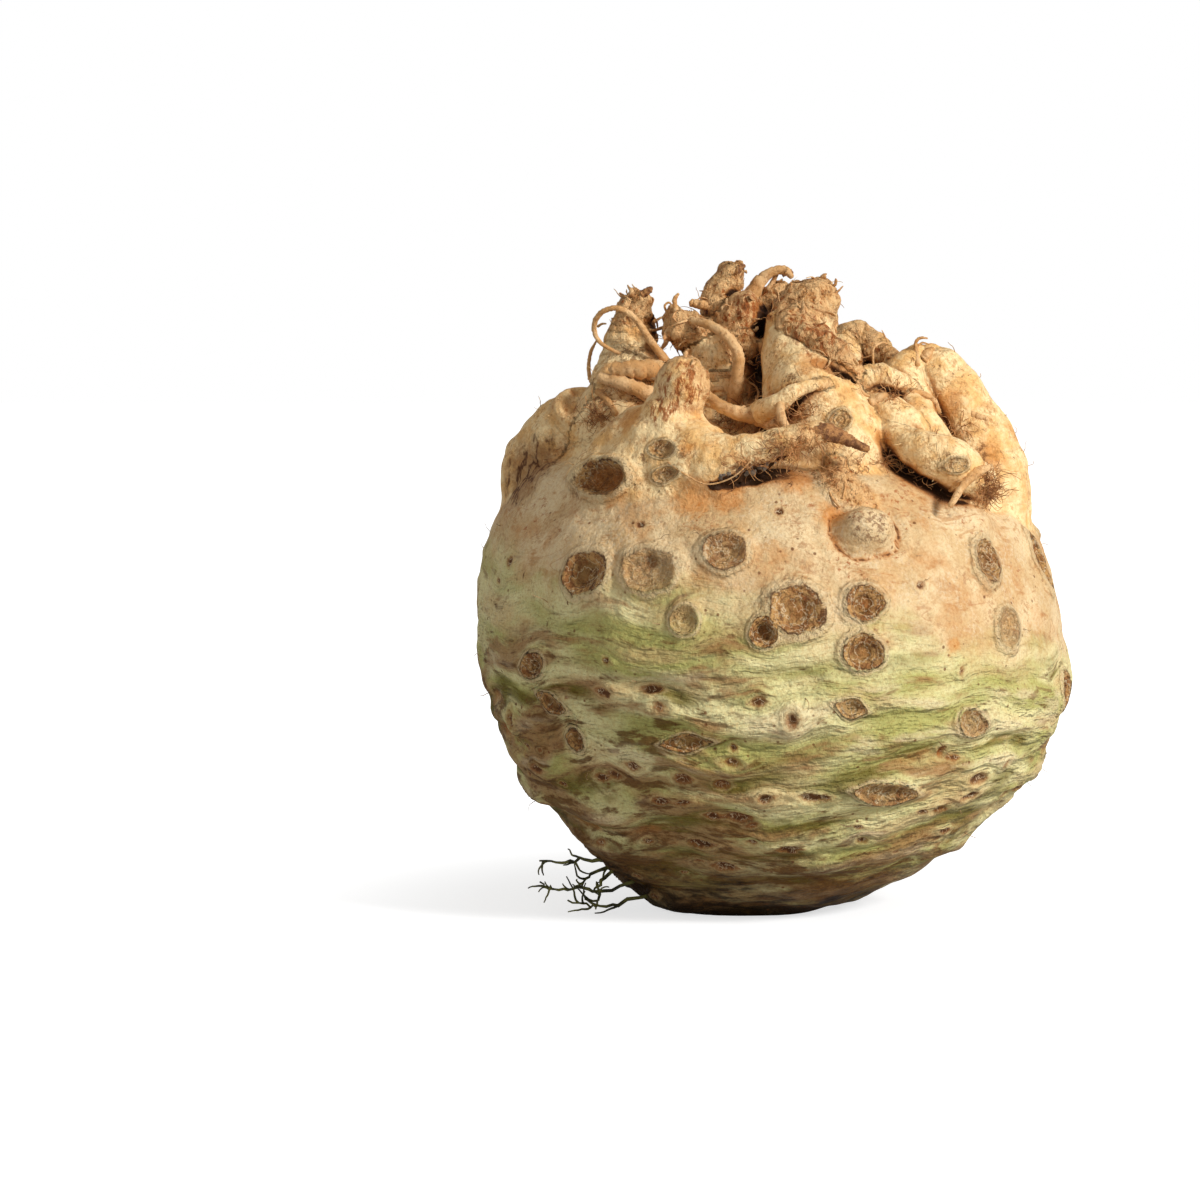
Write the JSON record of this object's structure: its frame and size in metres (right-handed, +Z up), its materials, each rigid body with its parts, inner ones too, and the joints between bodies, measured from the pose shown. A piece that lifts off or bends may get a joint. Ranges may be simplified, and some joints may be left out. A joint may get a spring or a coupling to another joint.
{
  "type": "celeriac root",
  "caption": "Round knobbly root vegetable with gnarled root legs and trimmed stubs on top, resting on its flat trimmed crown.",
  "frame": {"origin": "on the flat trimmed crown that the root rests on, under the middle of the round bulb", "axes": "+Z up out of the crown towards the root legs, -Y towards the viewer of the pictured side, +X to that viewer's right; the axis measured is the crown's outward normal, -Z"},
  "size_m": [0.1319, 0.1316, 0.1433],
  "materials": {
    "celeriac_skin": "matt rough skin, cream above and green to brown below"
  },
  "bodies": {
    "root": {"celeriac_root": "celeriac_skin"}
  },
  "joints": []
}
